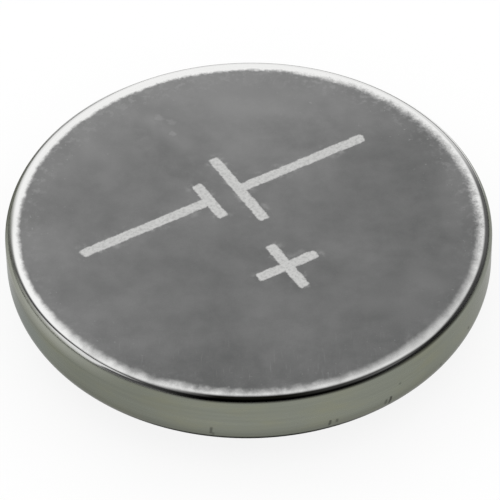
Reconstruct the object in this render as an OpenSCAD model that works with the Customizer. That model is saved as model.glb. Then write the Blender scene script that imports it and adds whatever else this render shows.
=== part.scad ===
// Lithium coin cell, 24.5 mm across, resting on its negative face with the positive face up.
// Millimetres, +Z up, origin at the centre of the negative face. Every piece is turned about Z,
// so each one is drawn as a half section (x is the radius, y is the height) and revolved.

/* [Cell] */
// Diameter of the cell over the can wall
cell_d = 24.5; // [22:0.1:30]
// Height of the cell over its two faces
cell_h = 5; // [4.7:0.1:7.7]

/* [Positive can] */
// Sheet thickness of the can
can_t = 0.28; // [0.2:0.01:0.32]
// Outer radius between the positive face and the wall
shoulder_r = 0.64; // [0.4:0.02:0.9]
// Outer radius of the lip that is rolled in over the gasket
crimp_r = 1.8; // [1.5:0.05:2]
// Angle through which the lip is rolled, in degrees
crimp_turn = 84; // [60:1:86]

/* [Negative cap] */
// Sheet thickness of the cap
cap_t = 0.25; // [0.2:0.01:0.3]
// How far the negative face stands proud of the rolled lip
cap_proud = 1; // [0.8:0.05:1.3]
// Outer radius between the negative face and its step wall
face_edge_r = 1; // [0.5:0.05:1.1]
// Hollow radius between the step wall and the shelf
neck_r = 0.2; // [0.1:0.02:0.3]
// Flat width of the shelf between the hollow radius and the rolled shoulder
shelf_w = 0.1; // [0.02:0.02:0.3]

/* [Sealing gasket] */
// Thickness of the gasket between can and cap
gasket_t = 0.42; // [0.3:0.01:0.5]
// Thickness of the gasket foot under the edge of the cap skirt
foot_t = 0.4; // [0.25:0.01:0.6]
// Thickness of the gasket wall inside the cap skirt
inner_wall_t = 0.3; // [0.2:0.01:0.4]
// Height of that inner wall beyond the foot
inner_wall_h = 0.9; // [0.4:0.05:1.1]
// Width of the gasket bead that stands between the lip's edge and the cap
bead_w = 0.22; // [0.1:0.01:0.3]
// Height of that bead
bead_h = 0.16; // [0.05:0.01:0.25]

/* [Electrodes] */
// Thickness of the lithium disc
lithium_t = 1.2; // [0.8:0.05:1.4]
// Thickness of the separator fabric
separator_t = 0.2; // [0.1:0.01:0.3]
// Sheet thickness of the collector ring round the pellet
ring_t = 0.2; // [0.1:0.01:0.25]
// Height of the collector ring
ring_h = 1.5; // [1:0.05:1.6]
// Depth of the bevel round the pellet's two edges
pellet_bevel = 0.15; // [0.05:0.01:0.25]

/* [Clearances] */
// Radial gap between curved faces that bear on each other
seat = 0.01; // [0.01:0.005:0.02]
// Radial gap round the lithium disc and the separator
stack_gap = 0.08; // [0.04:0.01:0.12]
// Gap between the separator's turned-up rim and the collector ring
rim_gap = 0.3; // [0.1:0.05:0.6]

/* [Hidden] */
$fn = 96;

// The rolled lip, the gasket under it and the shoulder of the cap all turn about one circle.
wall_r = cell_d / 2;
roll_r = wall_r - crimp_r;
roll_z = cap_proud + crimp_r;

// Depth below the outside of the can at which each nested layer starts.
gasket_in = can_t + seat;
cap_in = gasket_in + gasket_t + seat;

// Cap: the shelf that the lip presses on, and the step wall down to the negative face.
shelf_z = roll_z - (crimp_r - cap_in);
neck_x = roll_r - shelf_w;
step_r = neck_x - neck_r;
skirt_r = wall_r - cap_in;

// Levels inside the can, from its floor down.
floor_z = cell_h - can_t;
skirt_top_z = floor_z - foot_t;

// Gasket wall inside the cap skirt.
inner_wall_r = skirt_r - cap_t - seat;
foot_in_r = inner_wall_r - inner_wall_t;

// Stack of electrodes, from the negative face up.
lithium_z = cap_t;
lithium_r = step_r - face_edge_r - stack_gap;
separator_z = lithium_z + lithium_t;
separator_r = step_r - cap_t - stack_gap;
pellet_z = separator_z + separator_t;
pellet_r = separator_r - separator_t - seat;
ring_in_r = pellet_r + seat;
ring_z = floor_z - ring_h;
flange_r = foot_in_r - stack_gap;

// Reach of the cutters past what they cut.
past = 1;

// A filled rectangle from one corner to the other.
module block(x0, y0, x1, y1) {
    translate([x0, y0]) square([x1 - x0, y1 - y0]);
}

// A quarter of a disc of radius r with its centre at [x, y], lying to the side sx and sy of it.
module quarter(x, y, r, sx, sy) {
    translate([x, y]) intersection() {
        circle(r);
        block(min(0, sx * r), min(0, sy * r), max(0, sx * r), max(0, sy * r));
    }
}

// A quarter of a sheet bend, t thick, with the outer radius r.
module bend(x, y, r, t, sx, sy) {
    difference() {
        quarter(x, y, r, sx, sy);
        translate([x, y]) circle(r - t);
    }
}

// The can's half section, filled, and set in by a given depth from its outside.
module envelope(depth) {
    top = cell_h - depth;
    wall = wall_r - depth;
    corner = shoulder_r - depth;
    roll = crimp_r - depth;
    block(0, roll_z, wall, top - max(corner, 0));
    if (corner > 0) {
        block(0, top - corner, wall - corner, top);
        quarter(wall - corner, top - corner, corner, 1, 1);
    }
    block(0, roll_z - roll, roll_r, roll_z);
    quarter(roll_r, roll_z, roll, 1, -1);
}

// The wedge that is left open where the roll ends, seen from the roll's centre.
module mouth(turn) {
    reach = crimp_r + past;
    translate([roll_r, roll_z]) polygon([
        [0, 0],
        [reach * cos(turn), -reach * sin(turn)],
        [0, -reach],
        [-roll_r, -reach],
        [-roll_r, 0]
    ]);
}

// Deep-drawn cup: positive face, wall, and the lip rolled in over the gasket.
module positive_can() {
    color("silver") rotate_extrude() difference() {
        envelope(0);
        envelope(can_t);
        mouth(crimp_turn);
    }
}

// Drawn dish: negative face, step wall, shelf, rolled shoulder and skirt, in one sheet.
module negative_cap() {
    shoulder = crimp_r - cap_in;
    color("gainsboro") rotate_extrude() {
        block(0, 0, step_r - face_edge_r, cap_t);
        bend(step_r - face_edge_r, face_edge_r, face_edge_r, cap_t, 1, -1);
        block(step_r - cap_t, face_edge_r, step_r, shelf_z - neck_r);
        bend(neck_x, shelf_z - neck_r, neck_r + cap_t, cap_t, -1, 1);
        block(neck_x, shelf_z, roll_r, shelf_z + cap_t);
        bend(roll_r, roll_z, shoulder, cap_t, 1, -1);
        block(skirt_r - cap_t, roll_z, skirt_r, skirt_top_z);
    }
}

// Moulded ring: outer wall rolled in under the lip, foot on the can floor, inner wall, and a bead
// that fills part of the slot between the lip's edge and the cap.
module sealing_gasket() {
    slot_r = step_r + seat;
    under_z = roll_z - (crimp_r - gasket_in);
    color("dimgray") rotate_extrude() {
        difference() {
            envelope(gasket_in);
            envelope(gasket_in + gasket_t);
            block(-past, roll_z, skirt_r + seat, cell_h);
            block(-past, under_z - past, slot_r, roll_z);
            block(slot_r - past, shelf_z - neck_r, neck_x, roll_z);
        }
        block(slot_r, under_z - bead_h, slot_r + bead_w, under_z);
        intersection() {
            envelope(gasket_in);
            block(foot_in_r, skirt_top_z, skirt_r + seat, floor_z - seat);
        }
        block(foot_in_r, skirt_top_z - inner_wall_h, inner_wall_r, skirt_top_z);
    }
}

// Pressed disc of manganese dioxide, bevelled at both edges, from the separator to the can floor.
module cathode_pellet() {
    bevel_r = pellet_r - pellet_bevel;
    color("#2b2b2d") rotate_extrude() polygon([
        [0, pellet_z],
        [bevel_r, pellet_z],
        [pellet_r, pellet_z + pellet_bevel],
        [pellet_r, floor_z - pellet_bevel],
        [bevel_r, floor_z],
        [0, floor_z]
    ]);
}

// Angle-section ring that grips the pellet and bears on the can floor.
module collector_ring() {
    color("lightslategray") rotate_extrude() {
        block(ring_in_r, ring_z, ring_in_r + ring_t, floor_z);
        block(ring_in_r + ring_t, floor_z - ring_t, flange_r, floor_z);
    }
}

// Non-woven cup between the two electrodes, its rim turned up round the pellet.
module separator() {
    color("ivory") rotate_extrude() {
        block(0, separator_z, separator_r, pellet_z);
        block(separator_r - separator_t, pellet_z, separator_r, ring_z - rim_gap);
    }
}

// Punched disc of lithium foil, pressed onto the inside of the negative face.
module lithium_disc() {
    color("lightsteelblue") rotate_extrude()
        block(0, lithium_z, lithium_r, separator_z);
}

positive_can();
negative_cap();
sealing_gasket();
cathode_pellet();
collector_ring();
separator();
lithium_disc();
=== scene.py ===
"""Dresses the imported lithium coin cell: turned metal and gasket, finishes, stage and camera.

Everything is in metres in the part's own frame: +Z out of the positive face, the origin at the
centre of the negative face. Sizes are in millimetres in the settings and in the materials.
"""

import math

import bmesh
import bpy
from bpy.props import FloatProperty, FloatVectorProperty, IntProperty, PointerProperty
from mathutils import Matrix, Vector


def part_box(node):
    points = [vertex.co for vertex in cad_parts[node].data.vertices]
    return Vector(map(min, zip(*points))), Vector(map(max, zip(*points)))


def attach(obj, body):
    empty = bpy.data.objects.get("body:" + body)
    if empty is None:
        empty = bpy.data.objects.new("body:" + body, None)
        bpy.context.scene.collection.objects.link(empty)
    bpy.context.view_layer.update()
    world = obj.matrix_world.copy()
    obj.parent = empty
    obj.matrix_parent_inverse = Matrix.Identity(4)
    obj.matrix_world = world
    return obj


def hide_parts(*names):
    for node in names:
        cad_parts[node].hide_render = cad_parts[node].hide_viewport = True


bl_info = {
    "name": "Coin Cell Dresser",
    "version": (1, 0, 0),
    "blender": (4, 5, 0),
    "location": "View3D > Sidebar > Coin Cell",
    "description": "Turns the coin cell's shells and gives every piece its finish",
    "category": "Object",
}

MM = 0.001
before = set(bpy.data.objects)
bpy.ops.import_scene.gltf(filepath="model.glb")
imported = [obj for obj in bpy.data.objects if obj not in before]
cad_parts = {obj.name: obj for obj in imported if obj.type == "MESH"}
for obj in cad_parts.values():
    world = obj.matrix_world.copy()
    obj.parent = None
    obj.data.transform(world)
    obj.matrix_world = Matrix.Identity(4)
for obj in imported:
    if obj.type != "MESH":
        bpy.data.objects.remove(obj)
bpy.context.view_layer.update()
CAN_LOW, CAN_HIGH = (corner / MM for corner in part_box("positive_can"))
CAP_LOW, CAP_HIGH = (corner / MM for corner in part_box("negative_cap"))


def length(label, text, default, low=0.0, high=100.0):
    return FloatProperty(
        name=label, description=text, default=default, min=low, max=high, precision=3
    )


def colour(label, text, default):
    return FloatVectorProperty(
        name=label, description=text, default=default, size=4, min=0.0, max=1.0, subtype="COLOR"
    )


class CanSettings(bpy.types.PropertyGroup):
    """Positive can, its satin face and its etched marks"""

    radius: length("Radius", "Outer radius of the wall, mm", CAN_HIGH.x)
    top: length("Top", "Height of the positive face, mm", CAN_HIGH.z)
    foot: length("Foot", "Lowest height of the rolled lip, mm", CAN_LOW.z)
    sheet: length("Sheet", "Thickness of the can sheet, mm", 0.28)
    shoulder: length("Shoulder", "Outer radius between face and wall, mm", 0.64)
    roll: length("Roll", "Outer radius of the rolled lip, mm", 1.8)
    roll_turn: FloatProperty(
        name="Roll turn",
        description="Angle that the lip is rolled through",
        default=math.radians(84),
        subtype="ANGLE",
    )
    satin_radius: length("Satin radius", "Radius where the satin fades into polish, mm", 11.52)
    satin_fade: length("Satin fade", "Width of that fade, mm", 0.62)
    satin_shift: length("Satin shift", "How far the satin disc sits towards -Y, mm", 0.27)
    mark_width: length("Mark width", "Stroke width of the etched marks, mm", 0.56)
    mark_turn: FloatProperty(
        name="Mark turn",
        description="Angle of the etched marks on the face",
        default=math.radians(30),
        subtype="ANGLE",
    )
    face_dark: colour("Face, dark", "Darker satin of the face", (0.14, 0.142, 0.141, 1))
    face_light: colour("Face, light", "Lighter satin of the face", (0.3, 0.3, 0.299, 1))
    mark_colour: colour("Marks", "Frosted metal in the etched marks", (0.72, 0.72, 0.71, 1))
    rim_colour: colour("Rim", "Polished metal of the shoulder", (0.9, 0.9, 0.89, 1))
    wall_colour: colour("Wall", "Drawn metal of the wall", (0.222, 0.234, 0.196, 1))


class CapSettings(bpy.types.PropertyGroup):
    """Negative cap"""

    sheet: length("Sheet", "Thickness of the cap sheet, mm", 0.25)
    step_radius: length("Step radius", "Radius of the step wall, mm", 10.15)
    face_edge: length("Face edge", "Outer radius between face and step wall, mm", 1.0)
    neck: length("Neck", "Hollow radius under the shelf, mm", 0.2)
    shelf: length("Shelf", "Height of the shelf's outer side, mm", 1.72)
    skirt: length("Skirt", "Outer radius of the skirt, mm", CAP_HIGH.x)
    top: length("Top", "Height of the skirt's edge, mm", CAP_HIGH.z)
    metal: colour("Metal", "Bright drawn metal", (0.6, 0.6, 0.58, 1))


class GasketSettings(bpy.types.PropertyGroup):
    """Sealing gasket"""

    wall: length("Wall", "Thickness between can and cap, mm", 0.42)
    seat: length("Seat", "Gap to the sheets on either side, mm", 0.01)
    foot_inner: length("Foot, inner", "Inner radius of the foot, mm", 10.97)
    inner_wall: length("Inner wall", "Outer radius of the wall inside the skirt, mm", 11.27)
    inner_low: length("Inner wall, low", "Height of that wall's free edge, mm", 3.42)
    bead_width: length("Bead width", "Width of the bead beside the cap, mm", 0.22)
    bead_height: length("Bead height", "How far the bead stands out, mm", 0.16)
    plastic: colour("Plastic", "Moulded plastic", (0.05, 0.05, 0.053, 1))


class StageSettings(bpy.types.PropertyGroup):
    """Floor, light and camera"""

    elevation: FloatProperty(
        name="Elevation",
        description="Camera height above the horizon",
        default=math.radians(44.1),
        subtype="ANGLE",
    )
    distance: length("Distance", "From the camera to the positive face, mm", 200.0, 50.0, 2000.0)
    lens: length("Lens", "Focal length, mm", 286.7, 10.0, 500.0)
    segments: IntProperty(
        name="Segments", description="Facets round each turned piece", default=288, min=24, max=720
    )
    floor_colour: colour("Floor", "Pale floor", (0.15, 0.15, 0.15, 1))


# Sections are lists of (radius, height) in mm. These are small sizes in them, in mm and degrees.
SUPPORT = 0.03  # from a bend to the support loop beside it
EDGE_TRIM = 2.0  # by how much the lip's rounded edge stops short of the roll's end
CAP_EDGE_ROUND = 0.06
GASKET_ROUND = 0.05


def arc(x, z, radius, start, end, steps):
    """Points on an arc, with angles in degrees from the outward radius."""
    turns = [math.radians(start + (end - start) * i / steps) for i in range(steps + 1)]
    return [(x + radius * math.cos(t), z + radius * math.sin(t)) for t in turns]


def rounded(points, radius, steps=4):
    """The same outline with every marked corner (x, z, True) rounded off."""
    out = []
    count = len(points)
    for i, point in enumerate(points):
        if len(point) == 2:
            out.append(point)
            continue
        here = Vector(point[:2])
        before = (Vector(points[i - 1][:2]) - here).normalized() * radius
        after = (Vector(points[(i + 1) % count][:2]) - here).normalized() * radius
        for k in range(steps + 1):
            f = k / steps
            spot = here + before * (1 - f) ** 2 + after * f**2
            out.append((spot.x, spot.y))
    return out


def can_section(can):
    """Outside from the middle of the face to the lip's edge, and back along the inside."""
    corner_x, corner_z = can.radius - can.shoulder, can.top - can.shoulder
    roll_x, roll_z = can.radius - can.roll, can.foot + can.roll
    edge_turn = EDGE_TRIM - math.degrees(can.roll_turn)
    edge_depth = can.roll - can.sheet / 2
    flat = (0, 3, 6, 9, 11, corner_x - 5 * SUPPORT, corner_x - SUPPORT)
    points = [(x, can.top) for x in flat]
    points += arc(corner_x, corner_z, can.shoulder, 90, 0, 28)
    points += [(can.radius, corner_z - SUPPORT), (can.radius, (corner_z + roll_z) / 2)]
    points += [(can.radius, roll_z + SUPPORT)]
    points += arc(roll_x, roll_z, can.roll, 0, edge_turn, 32)
    points += arc(
        roll_x + edge_depth * math.cos(math.radians(edge_turn)),
        roll_z + edge_depth * math.sin(math.radians(edge_turn)),
        can.sheet / 2,
        edge_turn,
        edge_turn - 180,
        8,
    )[1:-1]
    points += arc(roll_x, roll_z, can.roll - can.sheet, edge_turn, 0, 16)
    points += arc(corner_x, corner_z, can.shoulder - can.sheet, 0, 90, 8)
    points += [(9, can.top - can.sheet), (0, can.top - can.sheet)]
    return points


def cap_section(cap, can):
    """Outside from the middle of the negative face to the skirt's edge, and back."""
    sheet, rim = cap.sheet, CAP_EDGE_ROUND
    edge_x = cap.step_radius - cap.face_edge
    neck_x, neck_z = cap.step_radius + cap.neck, cap.shelf - cap.neck
    roll_x, roll_z = can.radius - can.roll, can.foot + can.roll
    shoulder = cap.skirt - roll_x
    points = [(x, 0) for x in (0, 3, 6, 8.5, edge_x - SUPPORT)]
    points += arc(edge_x, cap.face_edge, cap.face_edge, -90, 0, 24)
    points += [(cap.step_radius, cap.face_edge + SUPPORT), (cap.step_radius, neck_z - SUPPORT)]
    points += arc(neck_x, neck_z, cap.neck, 180, 90, 10)
    points += arc(roll_x, roll_z, shoulder, -90, 0, 16)
    points += [(cap.skirt, cap.top - rim)]
    points += arc(cap.skirt - rim, cap.top - rim, rim, 0, 90, 4)[1:]
    points += arc(cap.skirt - sheet + rim, cap.top - rim, rim, 90, 180, 4)
    points += arc(roll_x, roll_z, shoulder - sheet, 0, -90, 12)
    points += arc(neck_x, neck_z, cap.neck + sheet, 90, 180, 8)
    points += arc(edge_x, cap.face_edge, cap.face_edge - sheet, 0, -90, 10)
    points += [(0, sheet)]
    return points


def gasket_section(gasket, can, cap):
    """Closed ring: rolled wall, bead beside the cap, foot and the wall inside the skirt."""
    roll_x, roll_z = can.radius - can.roll, can.foot + can.roll
    outer = can.sheet + gasket.seat
    inner = outer + gasket.wall
    low = roll_z - (can.roll - outer)
    slot = cap.step_radius + gasket.seat
    neck_z = cap.shelf - cap.neck
    corner_x, corner_z = can.radius - can.shoulder, can.top - can.shoulder
    wall_in = can.radius - inner
    bead = slot + gasket.bead_width
    return rounded(
        [
            (slot, neck_z, True),
            (slot, low - gasket.bead_height, True),
            (bead, low - gasket.bead_height, True),
            (bead, low, True),
            *arc(roll_x, roll_z, can.roll - outer, -90, 0, 24),
            *arc(corner_x, corner_z, can.shoulder - outer, 0, 90, 8),
            (gasket.foot_inner, can.top - outer, True),
            (gasket.foot_inner, gasket.inner_low, True),
            (gasket.inner_wall, gasket.inner_low, True),
            (gasket.inner_wall, cap.top),
            (wall_in, cap.top),
            *arc(roll_x, roll_z, can.roll - inner, 0, -90, 16),
            (cap.step_radius + cap.neck, cap.shelf - gasket.seat),
            (cap.step_radius + cap.neck, neck_z),
        ],
        GASKET_ROUND,
    )


class Graph:
    """Adds nodes to one tree and links them as it goes."""

    def __init__(self, tree):
        self.tree = tree

    def feed(self, socket, value):
        if isinstance(value, bpy.types.NodeSocket):
            self.tree.links.new(value, socket)
        elif value is not None:
            socket.default_value = value

    def node(self, kind, values=None, **settings):
        made = self.tree.nodes.new(kind)
        for key, value in settings.items():
            setattr(made, key, value)
        for key, value in (values or {}).items():
            self.feed(made.inputs[key], value)
        return made

    def math(self, operation, a, b=None, clamp=False):
        made = self.node("ShaderNodeMath", {0: a}, operation=operation, use_clamp=clamp)
        if b is not None:
            self.feed(made.inputs[1], b)
        return made.outputs[0]

    def chain(self, operation, values):
        total, *others = values
        for other in others:
            total = self.math(operation, total, other)
        return total

    def plus(self, *values):
        return self.chain("ADD", values)

    def minus(self, *values):
        return self.chain("SUBTRACT", values)

    def times(self, *values):
        return self.chain("MULTIPLY", values)

    def most(self, *values):
        return self.chain("MAXIMUM", values)

    def least(self, *values):
        return self.chain("MINIMUM", values)

    def swing(self, noise, amount):
        """A noise about its middle, made as strong as the amount."""
        return self.times(self.minus(noise, 0.5), amount)

    def vector(self, operation, a, b=None, scale=None):
        made = self.node("ShaderNodeVectorMath", {0: a}, operation=operation)
        if b is not None:
            self.feed(made.inputs[1], b)
        if scale is not None:
            self.feed(made.inputs["Scale"], scale)
        return made.outputs["Value" if operation == "LENGTH" else "Vector"]

    def smooth(self, value, low, high, start=0.0, end=1.0):
        made = self.node(
            "ShaderNodeMapRange",
            {"Value": value, "From Min": low, "From Max": high, "To Min": start, "To Max": end},
            interpolation_type="SMOOTHSTEP",
        )
        return made.outputs["Result"]

    def blend(self, share, a, b):
        made = self.node("ShaderNodeMix", data_type="RGBA")
        self.feed(made.inputs["Factor"], share)
        self.feed(made.inputs[6], a)
        self.feed(made.inputs[7], b)
        return made.outputs[2]

    def noise(self, vector, scale, detail=2.0, roughness=0.5, distortion=0.0):
        made = self.node(
            "ShaderNodeTexNoise",
            {
                "Vector": vector,
                "Scale": scale,
                "Detail": detail,
                "Roughness": roughness,
                "Distortion": distortion,
            },
        )
        return made.outputs["Fac"]

    def split(self, vector):
        return self.node("ShaderNodeSeparateXYZ", {0: vector}).outputs

    def join(self, x=0.0, y=0.0, z=0.0):
        return self.node("ShaderNodeCombineXYZ", {0: x, 1: y, 2: z}).outputs[0]


def turning_tree():
    """Geometry Nodes tree that turns a section's points about Z into a skin."""
    tree = bpy.data.node_groups.get("Turned section")
    if tree:
        return tree
    tree = bpy.data.node_groups.new("Turned section", "GeometryNodeTree")
    face = tree.interface
    face.new_socket(name="Section", in_out="INPUT", socket_type="NodeSocketGeometry")
    segments = face.new_socket(name="Segments", in_out="INPUT", socket_type="NodeSocketInt")
    segments.default_value = 96
    segments.min_value = 12
    weld = face.new_socket(name="Weld distance", in_out="INPUT", socket_type="NodeSocketFloat")
    weld.default_value = 2e-7
    face.new_socket(name="Finish", in_out="INPUT", socket_type="NodeSocketMaterial")
    face.new_socket(name="Piece", in_out="OUTPUT", socket_type="NodeSocketGeometry")
    g = Graph(tree)
    given = g.node("NodeGroupInput")
    size = g.node("GeometryNodeAttributeDomainSize", {"Geometry": given.outputs["Section"]})
    around = g.plus(given.outputs["Segments"], 1.0)
    grid = g.node(
        "GeometryNodeMeshGrid",
        {"Vertices X": size.outputs["Point Count"], "Vertices Y": around},
    )
    index = g.node("GeometryNodeInputIndex").outputs[0]
    row = g.math("FLOOR", g.math("DIVIDE", g.plus(index, 0.5), around))
    column = g.minus(index, g.times(row, around))
    # The last column goes back to the first one's place and is welded to it.
    share = g.math("DIVIDE", column, given.outputs["Segments"])
    share = g.times(share, g.math("LESS_THAN", share, 0.999999))
    sample = g.node("GeometryNodeSampleIndex", data_type="FLOAT_VECTOR", domain="POINT")
    g.feed(sample.inputs["Geometry"], given.outputs["Section"])
    g.feed(sample.inputs["Value"], g.node("GeometryNodeInputPosition").outputs[0])
    g.feed(sample.inputs["Index"], row)
    turn = g.node(
        "ShaderNodeVectorRotate",
        {"Vector": sample.outputs[0], "Angle": g.times(share, math.tau)},
        rotation_type="Z_AXIS",
    )
    skin = g.node(
        "GeometryNodeSetPosition",
        {"Geometry": grid.outputs["Mesh"], "Position": turn.outputs[0]},
    )
    welded = g.node(
        "GeometryNodeMergeByDistance",
        {"Geometry": skin.outputs[0], "Distance": given.outputs["Weld distance"]},
    )
    smooth = g.node("GeometryNodeSetShadeSmooth", {"Geometry": welded.outputs[0]})
    real = g.node("GeometryNodeRealizeInstances", {"Geometry": smooth.outputs[0]})
    finish = g.node(
        "GeometryNodeSetMaterial",
        {"Geometry": real.outputs[0], "Material": given.outputs["Finish"]},
    )
    g.node("NodeGroupOutput", {"Piece": finish.outputs[0]})
    return tree


def turned_piece(name, section, closed, finish, segments):
    """A plain mesh turned from the section, closed at the axis or as a ring."""
    if closed:
        section = section + section[:1]
    line = bpy.data.meshes.new(name + "_section")
    line.from_pydata([(x * MM, 0, z * MM) for x, z in section], [], [])
    piece = bpy.data.objects.new(name + "_section", line)
    bpy.context.scene.collection.objects.link(piece)
    tree = turning_tree()
    modifier = piece.modifiers.new("Turned section", "NODES")
    modifier.node_group = tree
    sockets = {s.name: s.identifier for s in tree.interface.items_tree if s.in_out == "INPUT"}
    modifier[sockets["Segments"]] = segments
    modifier[sockets["Finish"]] = finish
    bpy.context.view_layer.update()
    mesh = bpy.data.meshes.new_from_object(
        piece.evaluated_get(bpy.context.evaluated_depsgraph_get())
    )
    bpy.data.objects.remove(piece)
    mesh.name = name
    shape = bmesh.new()
    shape.from_mesh(mesh)
    loose = [v for v in shape.verts if not v.link_faces]
    bmesh.ops.delete(shape, geom=loose, context="VERTS")
    bmesh.ops.recalc_face_normals(shape, faces=shape.faces)
    open_edges = sum(1 for e in shape.edges if len(e.link_faces) != 2)
    if open_edges:
        raise RuntimeError(f"{name} has {open_edges} open edges")
    if shape.calc_volume(signed=True) < 0:
        bmesh.ops.reverse_faces(shape, faces=shape.faces)
    shape.to_mesh(mesh)
    shape.free()
    turned = bpy.data.objects.new(name, mesh)
    bpy.context.scene.collection.objects.link(turned)
    return turned


def shader_group(name, inputs, outputs, build):
    """A shader node group, built once; inputs are (name, kind, default)."""
    tree = bpy.data.node_groups.get(name)
    if tree:
        return tree
    tree = bpy.data.node_groups.new(name, "ShaderNodeTree")
    for label, kind, default in inputs:
        socket = tree.interface.new_socket(
            name=label, in_out="INPUT", socket_type="NodeSocket" + kind
        )
        if default is not None:
            socket.default_value = default
    for label, kind in outputs:
        tree.interface.new_socket(name=label, in_out="OUTPUT", socket_type="NodeSocket" + kind)
    g = Graph(tree)
    given = g.node("NodeGroupInput").outputs
    g.node("NodeGroupOutput", build(g, given))
    return tree


def build_polar(g, given):
    """Radius, and angle from -Y, about the cell's axis."""
    x, y, _ = g.split(given["Place"])
    radius = g.vector("LENGTH", g.join(x, y, 0.0))
    angle = g.math("ARCTAN2", x, g.times(y, -1.0))
    return {"Radius": radius, "Angle": angle}


def build_bar(g, given):
    """A straight stroke with rounded corners and ragged edges."""
    local = g.vector("SUBTRACT", given["Place"], given["Centre"])
    turned = g.node(
        "ShaderNodeVectorRotate",
        {"Vector": local, "Angle": g.times(given["Turn"], -1.0)},
        rotation_type="Z_AXIS",
    ).outputs[0]
    x, y, _ = g.split(turned)
    half = g.times(given["Length"], 0.5)
    end = g.minus(g.math("ABSOLUTE", x), g.minus(half, given["Corner"]))
    side_at = g.minus(given["Half width"], given["Corner"])
    side = g.minus(g.math("ABSOLUTE", y), side_at)
    end, side = g.most(end, 0.0), g.most(side, 0.0)
    away = g.plus(g.vector("LENGTH", g.join(end, side, 0.0)), given["Ragged"])
    inside = g.minus(given["Corner"], given["Feather"])
    outside = g.plus(given["Corner"], given["Feather"])
    return {
        "Mask": g.smooth(away, inside, outside, 1.0, 0.0),
        "Halo": g.smooth(away, given["Corner"], g.plus(given["Corner"], 0.5), 1.0, 0.0),
    }


def build_mottle(g, given):
    """Cloudy patches, fine grain and sparse specks of a satin metal."""
    place = given["Place"]
    broad = g.noise(place, g.times(given["Scale"], 0.16), 3.0, 0.55, 0.3)
    cloud = g.noise(place, g.times(given["Scale"], 0.8), 5.0, 0.62)
    grain = g.noise(place, g.times(given["Scale"], 14.0), 3.0, 0.7)
    speck = g.noise(place, g.times(given["Scale"], 5.5), 1.0, 0.5)
    return {
        "Broad": g.smooth(broad, 0.3, 0.7),
        "Cloud": g.smooth(cloud, 0.28, 0.72),
        "Grain": grain,
        "Speck": g.smooth(speck, given["Speck level"], g.plus(given["Speck level"], 0.05)),
    }


def polar_group():
    return shader_group(
        "Cell polar",
        [("Place", "Vector", None)],
        [("Radius", "Float"), ("Angle", "Float")],
        build_polar,
    )


def bar_group():
    return shader_group(
        "Etched stroke",
        [
            ("Place", "Vector", None),
            ("Centre", "Vector", (0, 0, 0)),
            ("Turn", "Float", 0.0),
            ("Length", "Float", 3.0),
            ("Half width", "Float", 0.28),
            ("Corner", "Float", 0.12),
            ("Feather", "Float", 0.05),
            ("Ragged", "Float", 0.0),
        ],
        [("Mask", "Float"), ("Halo", "Float")],
        build_bar,
    )


def mottle_group():
    return shader_group(
        "Metal mottle",
        [("Place", "Vector", None), ("Scale", "Float", 1.0), ("Speck level", "Float", 0.72)],
        [("Broad", "Float"), ("Cloud", "Float"), ("Grain", "Float"), ("Speck", "Float")],
        build_mottle,
    )


def new_material(name):
    """An empty node material with its Principled BSDF, and the place on the piece in mm."""
    material = bpy.data.materials.new(name)
    material.use_nodes = True
    material.node_tree.nodes.clear()
    g = Graph(material.node_tree)
    shader = g.node("ShaderNodeBsdfPrincipled")
    g.node("ShaderNodeOutputMaterial", {"Surface": shader.outputs[0]})
    object_place = g.node("ShaderNodeTexCoord").outputs["Object"]
    place = g.vector("SCALE", object_place, scale=1 / MM)
    return material, g, shader, place


def use_group(g, tree, values):
    made = g.node("ShaderNodeGroup", node_tree=tree)
    for key, value in values.items():
        g.feed(made.inputs[key], value)
    return made.outputs


def stroke(g, place, centre, turn, size, half_width, corner, feather, ragged):
    """Masks of one straight stroke on the surface, with its sizes in mm."""
    return use_group(
        g,
        bar_group(),
        {
            "Place": place,
            "Centre": (*centre, 0.0),
            "Turn": turn,
            "Length": size,
            "Half width": half_width,
            "Corner": corner,
            "Feather": feather,
            "Ragged": ragged,
        },
    )


def mark_strokes(can):
    """Centre, turn and length of each stroke: the cell symbol and a plus sign, in mm."""
    turn = can.mark_turn
    along = Vector((math.cos(turn), math.sin(turn)))
    middle = Vector((-1.2, 1.85))
    plus = Vector((1.9, -3.3))
    gap, lead, tall, short, arm = 1.7, 7.4, 5.2, 2.7, 3.4
    spots = [
        (middle - along * (gap / 2 + lead / 2), 0.0, lead),
        (middle + along * (gap / 2 + lead / 2), 0.0, lead),
        (middle + along * gap / 2, math.pi / 2, tall),
        (middle - along * gap / 2, math.pi / 2, short),
        (plus, 0.0, arm),
        (plus, math.pi / 2, arm),
    ]
    return [(spot, turn + extra, size) for spot, extra, size in spots]


# Handling nicks on the wall: degrees round from the front, height over the foot, length, strength.
NICKS = (
    (-9.3, 1.5, 0.55, 0.55),
    (-8.9, 1.2, 0.3, 0.4),
    (18.2, 1.4, 0.45, 0.7),
    (19.9, 1.45, 0.3, 0.5),
    (32.6, 1.45, 0.4, 0.55),
    (33.8, 1.4, 0.6, 0.85),
    (36.4, 2.3, 0.15, 0.4),
    (50.0, 1.5, 0.2, 0.6),
    (62.0, 1.9, 0.15, 0.7),
)
NICK_HALF_WIDTH = 0.065

# Soft scuffs on the face: centre, direction in degrees, length, half width, lighter or darker.
SCUFFS = (
    ((-4.1, 6.5), -51, 3.4, 0.4, 0.22),
    ((-3.9, 5.0), -58, 5.6, 0.7, -0.13),
    ((-7.6, 5.2), -46, 3.0, 0.5, 0.12),
    ((7.8, -5.4), 38, 3.6, 0.8, 0.14),
    ((0.5, 8.6), -12, 4.5, 0.7, 0.12),
    ((2.4, 6.6), -20, 3.5, 0.8, -0.12),
    ((-4.2, 7.5), -28, 1.1, 0.1, 0.24),
    ((-3.7, 6.4), -15, 0.3, 0.09, 0.3),
    ((-5.9, 9.7), -20, 0.4, 0.08, 0.4),
)

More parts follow.
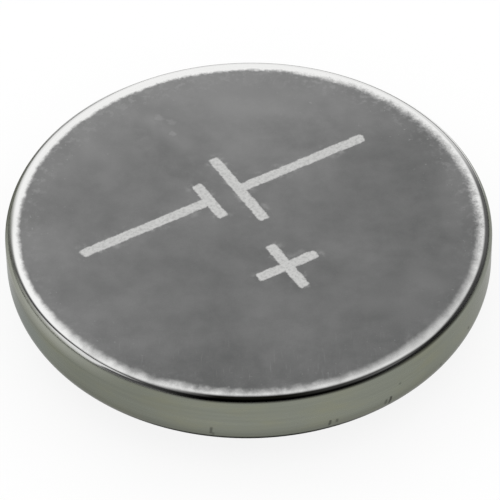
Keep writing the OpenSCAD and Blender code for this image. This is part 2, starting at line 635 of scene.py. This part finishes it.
# Tones laid over the drawn wall, in this order; wall_masks gives each its place. The stain, the
# streak and the nicks are the metal's own; the others are painted shade and light, and the darker
# foot is partly also the lip's scuffing.
WALL_TONES = {
    "stain": (0.25, 0.25, 0.17, 1.0),
    "streak": (0.12, 0.125, 0.105, 1.0),
    # Partly painted shade: darker towards the foot, where the wall reflects the cell's contact
    # shadow, and partly the rolled lip's own scuffing.
    "foot": (0.1, 0.105, 0.095, 1.0),
    # Painted shade: a dark line along the lowest edge of the rolled lip, where it reflects the
    # contact shadow.
    "lip": (0.05, 0.052, 0.05, 1.0),
    # Painted shade: the wall darker at the front left.
    "front left": (0.08, 0.085, 0.075, 1.0),
    # Painted light: the wall lighter at the far right.
    "right": (0.38, 0.4, 0.37, 1.0),
    # Painted shade: the wall darker at the back and the left.
    "back": (0.04, 0.042, 0.038, 1.0),
    # Painted highlight: a lighter band along the top of the wall at the left.
    "painted_sheen": (0.36, 0.37, 0.325, 1.0),
    # Painted reflection: a bluish light on the lower wall at the far left.
    "painted_blue_reflection": (0.235, 0.265, 0.265, 1.0),
    # Painted shade: dark under the shoulder at the front right.
    "painted_shade_under_shoulder": (0.035, 0.037, 0.027, 1.0),
    "nicks": (0.03, 0.03, 0.027, 1.0),
}
# Painted dark reflection: the near-black line laid on the shoulder.
DARK_REFLECTION_TONE = (0.008, 0.008, 0.006, 1.0)


def satin_masks(g, can, place):
    """The satin disc, with an edge that wanders and feathers, and the place across that edge."""
    x, y, _ = g.split(place)
    satin_place = g.vector("ADD", place, (-0.04, can.satin_shift, -can.top))
    satin_x, satin_y, _ = g.split(satin_place)
    radius = g.vector("LENGTH", g.join(satin_x, satin_y, 0.0))

    # How sharp the edge is: sharpest at the back left, and fairly sharp at the left.
    crisp = g.times(g.smooth(y, -9.0, 3.0), g.smooth(x, 8.0, -1.0))
    crisp_left = g.times(g.smooth(x, -6.0, -9.5), g.smooth(y, -9.0, -5.0, 0.0, 0.8))
    crisp = g.most(crisp, crisp_left)

    # How far it wanders: slow waves, fraying and fine hairs, calmer at the front right.
    hairs = g.swing(g.noise(place, 7.0, 3.0, 0.7), g.smooth(y, -9.0, -1.0, 0.15, 0.5))
    jitter = g.plus(
        g.swing(g.noise(place, 0.9, 2.0, 0.5), 0.3),
        g.swing(g.noise(place, 3.2, 4.0, 0.62), g.smooth(y, -7.0, 2.0, 0.16, 0.3)),
        g.times(hairs, g.smooth(x, -10.0, -3.0, 0.45, 1.0)),
        g.swing(g.noise(place, 2.0, 2.0, 0.5), 0.3),
    )
    calm = g.times(g.smooth(x, 1.0, 6.0), g.smooth(y, 0.0, -4.0, 0.0, 0.5))
    jitter = g.times(jitter, g.smooth(crisp, 0.0, 1.0, 1.0, 0.6), g.minus(1.0, calm))

    # A little more satin at the front, the front right and the left.
    edge = g.minus(
        g.plus(radius, jitter),
        g.smooth(y, -5.0, -11.0, 0.0, 0.09),
        g.times(g.smooth(x, 7.0, 10.5), g.smooth(y, -4.0, 2.0, 0.09, 0.0)),
        g.times(g.smooth(x, -7.0, -10.0), g.smooth(y, -8.0, -3.0, 0.0, 0.07)),
    )
    half_fade = g.smooth(crisp, 0.0, 1.0, can.satin_fade * 0.5, can.satin_fade * 0.2)
    satin = g.smooth(
        edge,
        g.minus(can.satin_radius, half_fade),
        g.plus(can.satin_radius, half_fade),
        1.0,
        0.0,
    )
    return satin, edge


def wall_mask(g, can, place):
    """Everything below a line on the shoulder that lies lower at the front and the back, and
    higher at the far left; where it lies lower, the bright shoulder colour reaches further down, a
    painted reflection.
    """
    x, y, z = g.split(place)
    front = g.most(g.times(y, -0.37 / can.radius), 0.0)
    back = g.most(g.times(y, 0.2 / can.radius), 0.0)
    drop = g.plus(g.smooth(x, -7.0, -11.0, 0.2, 0.08), g.plus(front, back))
    below = g.plus(g.minus(z, can.top), g.times(drop, can.shoulder))
    return g.smooth(below, -0.09, 0.07, 1.0, 0.0)


def face_paint(g, can, place, mottle, edge):
    """Satin face: broad patches, clouds, grain, specks, short streaks, fringe and scuffs, over
    painted light that makes it lighter towards the back and the left.
    """
    x, y, _ = g.split(place)
    radius = use_group(g, polar_group(), {"Place": place})["Radius"]
    streaks = g.noise(g.vector("MULTIPLY", place, (9.0, 0.9, 1.0)), 1.0, 2.0, 0.5)
    outer = g.smooth(g.plus(radius, g.times(y, 0.12)), 8.0, 11.5, 0.1, 1.0)
    tone = g.plus(
        # Painted light: the face is lighter towards the back (+Y) and the left (-X).
        g.times(x, -0.016),
        g.times(y, 0.022),
        0.4,
        g.swing(mottle["Broad"], 0.31),
        g.swing(mottle["Cloud"], 0.22),
        g.swing(mottle["Grain"], 0.3),
        g.times(g.smooth(streaks, 0.6, 0.75), g.smooth(y, -6.0, -11.0), 0.25),
        g.times(mottle["Speck"], outer, 0.6),
        g.times(
            g.smooth(edge, can.satin_radius - 1.5, can.satin_radius - 0.2),
            0.5,
            g.smooth(g.noise(place, 2.4, 4.0, 0.65), 0.48, 0.68),
            g.smooth(y, -4.0, 5.0, 0.3, 1.0),
        ),
    )
    flat = g.vector("MULTIPLY", place, (1.0, 1.0, 0.0))
    smear = g.swing(g.noise(place, 1.6, 4.0, 0.6), 1.6)
    for spot, turn, size, wide, weight in SCUFFS:
        scuff = stroke(g, flat, spot, math.radians(turn), size, wide, wide, wide * 0.95, smear)
        tone = g.plus(tone, g.times(scuff["Mask"], weight))
    tone = g.most(g.least(tone, 1.0), 0.0)
    return g.blend(tone, tuple(can.face_dark), tuple(can.face_light))


def mark_masks(g, can, place):
    """The etched marks with ragged edges, and a halo round them."""
    height = g.split(place)[2]
    flat = g.vector("MULTIPLY", place, (1.0, 1.0, 0.0))
    ragged = g.swing(g.noise(place, 4.5, 3.0, 0.6), 0.2)
    bars = [
        stroke(g, flat, spot, turn, size, can.mark_width / 2, 0.14, 0.05, ragged)
        for spot, turn, size in mark_strokes(can)
    ]
    marks = g.most(*(bar["Mask"] for bar in bars))
    marks = g.times(marks, g.math("GREATER_THAN", height, can.top - 0.1))
    return marks, g.most(*(bar["Halo"] for bar in bars))


def nick_mask(g, can, angle, height):
    """Small dark nicks near the foot: the placed ones, and a few more by noise."""
    unrolled = g.join(g.times(angle, can.radius), height, 0.0)
    nicks = g.times(
        g.smooth(g.noise(unrolled, 2.6, 1.0, 0.5), 0.745, 0.8),
        g.smooth(height, can.foot + 1.5, can.foot + 1.0),
    )
    smear = g.swing(g.noise(unrolled, 6.0, 2.0, 0.6), 0.12)
    for degrees, over_foot, tall, deep in NICKS:
        spot = (math.radians(degrees) * can.radius, can.foot + over_foot)
        tick = stroke(
            g, unrolled, spot, math.radians(84), tall, NICK_HALF_WIDTH, 0.05, 0.05, smear
        )
        nicks = g.most(nicks, g.times(tick["Mask"], deep))
    return nicks


def wall_masks(g, can, place, angle, drawn):
    """Where each tone of WALL_TONES lies, by name."""
    x, y, z = g.split(place)
    stain = g.noise(g.join(g.times(angle, 5.0), z, 0.0), 0.9, 3.0, 0.55)
    streak_gap = g.math("ABSOLUTE", g.minus(g.plus(z, g.swing(stain, 0.3)), can.top - 1.15))
    return {
        "stain": g.smooth(stain, 0.4, 0.75, 0.0, 0.45),
        "streak": g.times(
            g.smooth(streak_gap, 0.0, 0.07, 0.35, 0.0),
            g.smooth(drawn, 0.35, 0.6),
            g.smooth(x, 1.5, -1.5),
        ),
        # Partly painted shade: darker towards the foot, where the wall reflects the contact
        # shadow, and partly the lip's own scuffing.
        "foot": g.smooth(z, can.foot + 2.1, can.foot + 0.8, 0.0, 0.42),
        # Painted shade: a dark line along the lowest edge of the rolled lip.
        "lip": g.smooth(z, can.foot + 1.12, can.foot + 0.8, 0.0, 0.92),
        # Painted shade: the wall darker at the front left.
        "front left": g.times(g.smooth(x, -1.5, -6.0), g.smooth(x, -11.0, -8.0), 0.2),
        # Painted light: the wall lighter at the far right.
        "right": g.smooth(x, 8.5, 11.5, 0.0, 0.3),
        # Painted shade: the wall darker at the back and the left.
        "back": g.times(g.smooth(y, -2.0, 1.0, 0.0, 0.7), g.smooth(x, 4.0, -6.0)),
        # Painted highlight: a lighter band along the top of the wall at the left.
        "painted_sheen": g.times(
            g.smooth(z, can.top - 1.2, can.top - 0.6, 0.0, 0.85), g.smooth(x, -5.5, -10.5)
        ),
        # Painted reflection: a bluish light on the lower wall at the far left.
        "painted_blue_reflection": g.times(
            g.smooth(z, can.top - 0.8, can.top - 1.8), g.smooth(x, -8.5, -11.8, 0.0, 0.7)
        ),
        # Painted shade: dark under the shoulder at the front right.
        "painted_shade_under_shoulder": g.times(
            g.smooth(z, can.top - 0.52, can.top - 0.3, 0.0, 0.85),
            g.smooth(x, 1.0, can.radius * 0.6),
            g.smooth(y, -2.5, -7.0),
        ),
        "nicks": nick_mask(g, can, angle, z),
    }


def dark_reflection_mask(g, can, place):
    """Painted dark reflection on the polished shoulder: a near-black line, widest at the front of
    the shoulder.
    """
    x, y, z = g.split(place)
    depth = g.math("DIVIDE", g.minus(can.top, z), can.shoulder)
    side = g.math("DIVIDE", x, can.radius)
    start = g.most(g.times(side, 0.125), g.times(side, -0.053))
    start = g.minus(start, g.smooth(x, 4.5, 8.0, 0.0, 0.015))
    past_start = g.minus(depth, 0.22, start)
    width = g.plus(g.smooth(x, -7.0, -2.0, 0.06, 0.33), g.smooth(x, 4.0, 8.0, 0.0, 0.03))
    width = g.minus(width, g.smooth(x, 8.0, 10.5, 0.0, 0.16))
    tail = g.smooth(x, -7.0, -3.0, 0.1, 0.28)
    return g.times(
        g.smooth(past_start, width, g.plus(width, tail), 1.0, 0.0),
        g.smooth(past_start, -0.06, 0.07),
        g.smooth(past_start, 0.06, 0.16, 1.0, g.smooth(x, 4.5, 8.0, 1.0, 0.62)),
        g.smooth(y, -5.5, -8.5),
        g.smooth(x, -6.5, -1.5, 0.1, 1.0),
        g.smooth(x, 1.0, 8.0, 1.0, 0.88),
        g.smooth(x, -9.6, -8.4),
    )


def can_material(can):
    """Satin face with etched marks, polished shoulder with a ragged inner edge, drawn wall;
    painted light, shade and a dark reflection are laid into its colour.
    """
    material, g, shader, place = new_material("can_metal")
    x, y, z = g.split(place)
    angle = use_group(g, polar_group(), {"Place": place})["Angle"]
    mottle = use_group(g, mottle_group(), {"Place": place, "Speck level": 0.73})
    drawn = g.noise(g.join(g.times(angle, 1.6), g.times(z, 5.0), 0.0), 1.0, 4.0, 0.6)
    satin, edge = satin_masks(g, can, place)
    marks, halo = mark_masks(g, can, place)
    wall = wall_mask(g, can, place)
    dark_reflection = dark_reflection_mask(g, can, place)

    face_colour = face_paint(g, can, place, mottle, edge)
    haze = g.times(halo, g.smooth(g.noise(place, 1.4, 3.0, 0.6), 0.5, 0.72, 0.0, 0.22))
    frost = g.smooth(g.noise(place, 6.0, 3.0, 0.65), 0.3, 0.6, 0.72, 1.0)
    for mask in (haze, g.times(marks, frost)):
        face_colour = g.blend(mask, face_colour, tuple(can.mark_colour))

    light = (*(min(1.0, c * 1.04) for c in can.wall_colour[:3]), 1.0)
    dark = (*(c * 0.92 for c in can.wall_colour[:3]), 1.0)
    wall_colour = g.blend(g.smooth(drawn, 0.25, 0.75), dark, light)
    masks = wall_masks(g, can, place, angle, drawn)
    for name, tone in WALL_TONES.items():
        wall_colour = g.blend(masks[name], wall_colour, tone)

    metal = g.blend(satin, tuple(can.rim_colour), face_colour)
    metal = g.blend(wall, metal, wall_colour)
    # Paints the shoulder's dark reflection into the colour.
    metal = g.blend(dark_reflection, metal, DARK_REFLECTION_TONE)
    g.feed(shader.inputs["Base Color"], metal)
    shader.inputs["Metallic"].default_value = 1.0

    # Edge reflections are weaker on the wall and nearly gone where shade and a dark reflection are
    # painted, so that the metal stays dark there.
    tint = g.blend(wall, (1, 1, 1, 1), (0.6, 0.6, 0.58, 1))
    painted_dark = g.most(
        g.times(masks["lip"], g.smooth(y, -9.5, -11.5)),
        dark_reflection,
        g.times(masks["back"], g.smooth(x, -5.0, -9.0)),
    )
    g.feed(shader.inputs["Specular Tint"], g.blend(painted_dark, tint, (0.05, 0.05, 0.05, 1)))

    rim_rough = g.smooth(g.noise(place, 2.0, 2.0, 0.5), 0.3, 0.7, 0.07, 0.1)
    face_rough = g.plus(0.39, g.times(mottle["Cloud"], 0.06), g.times(marks, 0.15))
    wall_rough = g.smooth(drawn, 0.2, 0.8, 0.2, 0.3)
    rough = g.plus(g.times(face_rough, satin), g.times(rim_rough, g.minus(1.0, satin)))
    rough = g.plus(g.times(wall_rough, wall), g.times(rough, g.minus(1.0, wall)))
    g.feed(shader.inputs["Roughness"], rough)

    height = g.minus(g.swing(mottle["Grain"], satin), g.times(marks, 0.8))
    add_bump(g, shader, height, 0.25, 0.00001)
    return material


def add_bump(g, shader, height, strength, distance):
    bump = g.node(
        "ShaderNodeBump", {"Strength": strength, "Distance": distance, "Height": height}
    )
    g.feed(shader.inputs["Normal"], bump.outputs[0])


def plain_metal(name, metal, light, rough_low, rough_high):
    """Bright drawn sheet: fine mottle, faint round lines and handling marks."""
    material, g, shader, place = new_material(name)
    radius = use_group(g, polar_group(), {"Place": place})["Radius"]
    mottle = use_group(g, mottle_group(), {"Place": place, "Speck level": 0.78})
    rings = g.noise(g.join(g.times(radius, 9.0), 0.0, 0.0), 1.0, 3.0, 0.6)
    tone = g.plus(
        g.times(mottle["Broad"], 0.4),
        g.times(mottle["Cloud"], 0.35),
        g.times(g.smooth(rings, 0.3, 0.7), 0.25),
    )
    dark = (*(c * light for c in metal[:3]), 1.0)
    g.feed(shader.inputs["Base Color"], g.blend(tone, dark, tuple(metal)))
    shader.inputs["Metallic"].default_value = 1.0
    g.feed(shader.inputs["Roughness"], g.smooth(tone, 0.1, 0.9, rough_high, rough_low))
    add_bump(g, shader, mottle["Grain"], 0.15, 0.00001)
    return material


def soft_material(name, dark, light, grain_scale, rough, bump_strength):
    """Plastic, pressed powder or fabric: two tones by noise, with a fine bump."""
    material, g, shader, place = new_material(name)
    patch = g.noise(place, grain_scale * 0.12, 3.0, 0.55)
    grain = g.noise(place, grain_scale, 3.0, 0.65)
    tone = g.plus(g.times(patch, 0.5), g.times(grain, 0.5))
    g.feed(shader.inputs["Base Color"], g.blend(g.smooth(tone, 0.3, 0.7), dark, light))
    g.feed(shader.inputs["Roughness"], g.smooth(grain, 0.3, 0.7, rough - 0.08, rough + 0.08))
    add_bump(g, shader, grain, bump_strength, 0.00002)
    return material


def put_on(node, material):
    """Gives a CAD node that stays in view its finish."""
    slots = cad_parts[node].data.materials
    slots.clear()
    slots.append(material)


class COINCELL_OT_can(bpy.types.Operator):
    """Turn the positive can and give it its satin face, polished shoulder and drawn wall"""

    bl_idname = "coin_cell.can"
    bl_label = "Positive can"

    def execute(self, context):
        cell = context.scene
        piece = turned_piece(
            "can_shell",
            can_section(cell.coin_can),
            False,
            can_material(cell.coin_can),
            cell.coin_stage.segments,
        )
        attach(piece, "root")
        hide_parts("positive_can")
        return {"FINISHED"}


class COINCELL_OT_cap(bpy.types.Operator):
    """Turn the negative cap in one sheet"""

    bl_idname = "coin_cell.cap"
    bl_label = "Negative cap"

    def execute(self, context):
        cell = context.scene
        piece = turned_piece(
            "cap_shell",
            cap_section(cell.coin_cap, cell.coin_can),
            False,
            plain_metal("cap_metal", cell.coin_cap.metal, 0.8, 0.16, 0.3),
            cell.coin_stage.segments,
        )
        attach(piece, "root")
        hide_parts("negative_cap")
        return {"FINISHED"}


class COINCELL_OT_gasket(bpy.types.Operator):
    """Turn the sealing gasket as a closed ring"""

    bl_idname = "coin_cell.gasket"
    bl_label = "Sealing gasket"

    def execute(self, context):
        cell = context.scene
        plastic = tuple(cell.coin_gasket.plastic)
        light = (*(c * 1.5 for c in plastic[:3]), 1.0)
        piece = turned_piece(
            "gasket_ring",
            gasket_section(cell.coin_gasket, cell.coin_can, cell.coin_cap),
            True,
            soft_material("gasket_plastic", plastic, light, 12.0, 0.45, 0.3),
            cell.coin_stage.segments,
        )
        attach(piece, "root")
        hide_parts("sealing_gasket")
        return {"FINISHED"}


class COINCELL_OT_inside(bpy.types.Operator):
    """Give the electrodes, the separator and the collector ring their finishes"""

    bl_idname = "coin_cell.inside"
    bl_label = "Inner pieces"

    def execute(self, context):
        powder = soft_material(
            "pressed_powder", (0.02, 0.02, 0.021, 1), (0.07, 0.07, 0.072, 1), 8.0, 0.8, 0.5
        )
        felt = soft_material(
            "separator_felt", (0.72, 0.72, 0.68, 1), (0.88, 0.88, 0.85, 1), 6.0, 0.85, 0.6
        )
        put_on("cathode_pellet", powder)
        put_on("separator", felt)
        put_on("collector_ring", plain_metal("ring_metal", (0.55, 0.55, 0.54, 1), 0.8, 0.25, 0.4))
        put_on("lithium_disc", plain_metal("lithium_foil", (0.7, 0.71, 0.73, 1), 0.75, 0.35, 0.55))
        return {"FINISHED"}


class COINCELL_OT_stage(bpy.types.Operator):
    """Lay the floor, set the studio light and place the camera"""

    bl_idname = "coin_cell.stage"
    bl_label = "Stage"

    def execute(self, context):
        stage = context.scene.coin_stage
        lay_floor(stage)
        light_studio()
        place_camera(context.scene, stage)
        context.scene.view_settings.view_transform = "Standard"
        return {"FINISHED"}


def lay_floor(stage):
    """A wide pale floor that keeps the shadow and is lifted to white where the camera looks."""
    mesh = bpy.data.meshes.new("floor")
    wide = 3.0
    low = -0.00002  # just below the negative face, so that the two don't flicker
    mesh.from_pydata(
        [(-wide, -wide, low), (wide, -wide, low), (wide, wide, low), (-wide, wide, low)],
        [],
        [(0, 1, 2, 3)],
    )
    floor = bpy.data.objects.new("floor", mesh)
    bpy.context.scene.collection.objects.link(floor)
    material, g, shader, place = new_material("floor_white")
    base = tuple(stage.floor_colour)
    level = sum(base[:3]) / 3
    # The pale sheet ends between these distances in mm, and reflections see it dark beyond.
    white_to, dark_from = 40.0, 70.0
    beyond = g.smooth(g.vector("LENGTH", place), white_to, dark_from)
    g.feed(shader.inputs["Base Color"], g.blend(beyond, base, (0.01, 0.01, 0.01, 1.0)))
    shader.inputs["Roughness"].default_value = 0.9
    shader.inputs["Specular IOR Level"].default_value = 0.0
    rays = g.node("ShaderNodeLightPath").outputs
    seen = g.most(rays["Is Camera Ray"], rays["Is Transmission Ray"])
    seen = g.times(seen, g.smooth(beyond, 0.0, 1.0, 1.0 - level, 0.99))
    near = g.times(g.minus(1.0, beyond), 1.0 - level)
    mirrored = g.times(rays["Is Glossy Ray"], near)
    shader.inputs["Emission Color"].default_value = (1, 1, 1, 1)
    g.feed(shader.inputs["Emission Strength"], g.most(seen, mirrored))
    mesh.materials.append(material)


def band_top(g, x, y):
    """Height at which the dark band ends, in radians: it leans, and steps up at two places."""
    front, back = g.least(y, 0.0), g.most(y, 0.0)
    sway = g.smooth(y, -0.25, 0.72, math.radians(-12), math.radians(5))
    at_right = g.times(g.smooth(y, -0.2, 0.1), g.smooth(y, 0.6, 0.3))
    front_left = g.times(g.smooth(x, -0.1, -0.4), g.smooth(y, -0.28, -0.45))
    return g.plus(
        math.radians(33),
        g.times(front, math.radians(12)),
        g.times(back, math.radians(-9)),
        g.times(x, sway),
        g.times(at_right, g.smooth(x, 0.5, 0.85, 0.0, math.radians(4))),
        g.times(front_left, math.radians(4)),
    )


def dark_band(g, x, y, rise):
    """The band that polished metal sees round the room: 1 where it is dark, 0 elsewhere."""
    under = g.minus(rise, band_top(g, x, y))
    soft = g.smooth(x, -0.9, -0.6, 0.07, 0.14)
    band = g.smooth(under, g.times(soft, -1.0), soft, 1.0, 0.0)
    behind = g.minus(y, g.times(x, 0.15))
    band = g.times(band, g.smooth(behind, 0.72, 0.9, 1.0, 0.12))
    far_line = g.times(
        g.smooth(x, 0.02, 0.3), g.smooth(y, 0.55, 0.75), g.smooth(rise, 0.24, 0.1, 0.0, 0.6)
    )
    band = g.most(band, far_line)

    # It fades out towards the floor, sooner at the front left and at the far left.
    low = g.plus(
        g.times(g.smooth(x, -0.3, -0.6), g.smooth(y, -0.4, -0.6, 0.0, 0.3)),
        g.smooth(x, -0.78, -0.92, -0.1, 0.3),
    )
    band = g.times(band, g.smooth(rise, -0.35, low))

    # A light strip splits it at the left, so that its top shows as a fine line.
    over = g.minus(
        rise, g.smooth(x, -0.95, -0.82, -0.15, 0.2), g.smooth(y, -0.1, -0.35, 0.0, 0.12)
    )
    strip_top = g.smooth(y, -0.2, 0.1, -0.19, -0.3)
    strip = g.times(
        g.smooth(under, strip_top, g.plus(strip_top, 0.06), 1.0, 0.0),
        g.smooth(over, 0.0, 0.08),
        g.smooth(x, -0.62, -0.85),
        g.smooth(y, 0.0, 0.35, 0.85, 0.5),
    )
    return g.math("SUBTRACT", band, strip, clamp=True)


def studio_shine(g, direction):
    """Brightness of the room in reflections, brighter at the back and the left."""
    x, y, z = g.split(direction)
    rise = g.math("ARCSINE", z)
    depth = g.times(
        g.smooth(x, 0.3, 0.8, 0.99, 0.94),
        g.smooth(y, 0.3, 0.7, 1.0, 0.9),
        g.smooth(x, -0.25, -0.6, 1.0, 0.94),
    )
    front_glow = g.times(
        g.smooth(rise, 0.5, 0.8), g.smooth(y, 0.0, -0.25), g.smooth(x, -0.4, -0.1, 0.0, 0.17)
    )
    wash = g.plus(0.84, g.times(x, -0.16), g.times(y, 0.16), front_glow)
    return g.times(wash, g.minus(1.0, g.times(dark_band(g, x, y, rise), depth)))


def light_studio():
    """A white room that is even for matt surfaces; polished ones also see a dark band round it."""
    world = bpy.data.worlds.new("studio")
    bpy.context.scene.world = world
    world.use_nodes = True
    world.node_tree.nodes.clear()
    g = Graph(world.node_tree)
    shine = studio_shine(g, g.node("ShaderNodeTexCoord").outputs["Generated"])
    rays = g.node("ShaderNodeLightPath").outputs
    glossy = rays["Is Glossy Ray"]
    level = g.plus(g.times(glossy, shine), g.minus(1.0, glossy))
    level = g.most(level, rays["Is Camera Ray"])
    sky = g.node("ShaderNodeBackground", {"Color": (1, 1, 1, 1), "Strength": level})
    g.node("ShaderNodeOutputWorld", {"Surface": sky.outputs[0]})

    lamp = bpy.data.lights.new("key", "AREA")
    lamp.shape = "DISK"
    lamp.size = 0.6
    lamp.energy = 0.2
    key = bpy.data.objects.new("key", lamp)
    bpy.context.scene.collection.objects.link(key)
    key.visible_glossy = False
    key.location = (-0.22, 0.3, 0.42)
    key.rotation_euler = (Vector((0, 0, 0)) - key.location).to_track_quat("-Z", "Y").to_euler()


def place_camera(scene, stage):
    """The photograph's viewing angle; the aim point puts the cell where the frame has it."""
    data = bpy.data.cameras.new("camera")
    data.lens = stage.lens
    data.sensor_width = 36.0
    data.clip_start = 0.01
    data.clip_end = 20.0
    camera = bpy.data.objects.new("camera", data)
    scene.collection.objects.link(camera)
    back = Vector((0, -math.cos(stage.elevation), math.sin(stage.elevation)))
    face_middle = Vector((0, 0, CAN_HIGH.z))
    camera.location = (face_middle + back * stage.distance) * MM
    # In mm from the middle of the face.
    aim_x, aim_y, aim_drop = 0.055, -1.05, 1.085
    aim = Vector((aim_x, aim_y, CAN_HIGH.z - aim_drop)) * MM
    look = (aim - camera.location).to_track_quat("-Z", "Y")
    camera.rotation_euler = look.to_euler()
    photo_tilt = math.radians(-0.85)
    camera.rotation_euler.rotate_axis("Z", photo_tilt)
    scene.camera = camera


class COINCELL_PT_panel(bpy.types.Panel):
    """Sidebar list of the cell's pieces"""

    bl_label = "Coin Cell"
    bl_idname = "COINCELL_PT_panel"
    bl_space_type = "VIEW_3D"
    bl_region_type = "UI"
    bl_category = "Coin Cell"

    def draw(self, context):
        for maker in OPERATORS:
            self.layout.operator(maker.bl_idname)
        for name in SETTINGS:
            settings = getattr(context.scene, name)
            box = self.layout.box()
            for key in settings.__annotations__:
                box.prop(settings, key)


OPERATORS = (
    COINCELL_OT_can,
    COINCELL_OT_cap,
    COINCELL_OT_gasket,
    COINCELL_OT_inside,
    COINCELL_OT_stage,
)
SETTINGS = {
    "coin_can": CanSettings,
    "coin_cap": CapSettings,
    "coin_gasket": GasketSettings,
    "coin_stage": StageSettings,
}
CLASSES = (*SETTINGS.values(), *OPERATORS, COINCELL_PT_panel)


def register():
    for made in CLASSES:
        bpy.utils.register_class(made)
    for name, group in SETTINGS.items():
        setattr(bpy.types.Scene, name, PointerProperty(type=group))


def unregister():
    for name in SETTINGS:
        delattr(bpy.types.Scene, name)
    for made in reversed(CLASSES):
        bpy.utils.unregister_class(made)


def main():
    register()
    bpy.ops.coin_cell.stage()
    bpy.ops.coin_cell.can()
    bpy.ops.coin_cell.cap()
    bpy.ops.coin_cell.gasket()
    bpy.ops.coin_cell.inside()
    bpy.context.view_layer.update()


if __name__ == "__main__":
    main()
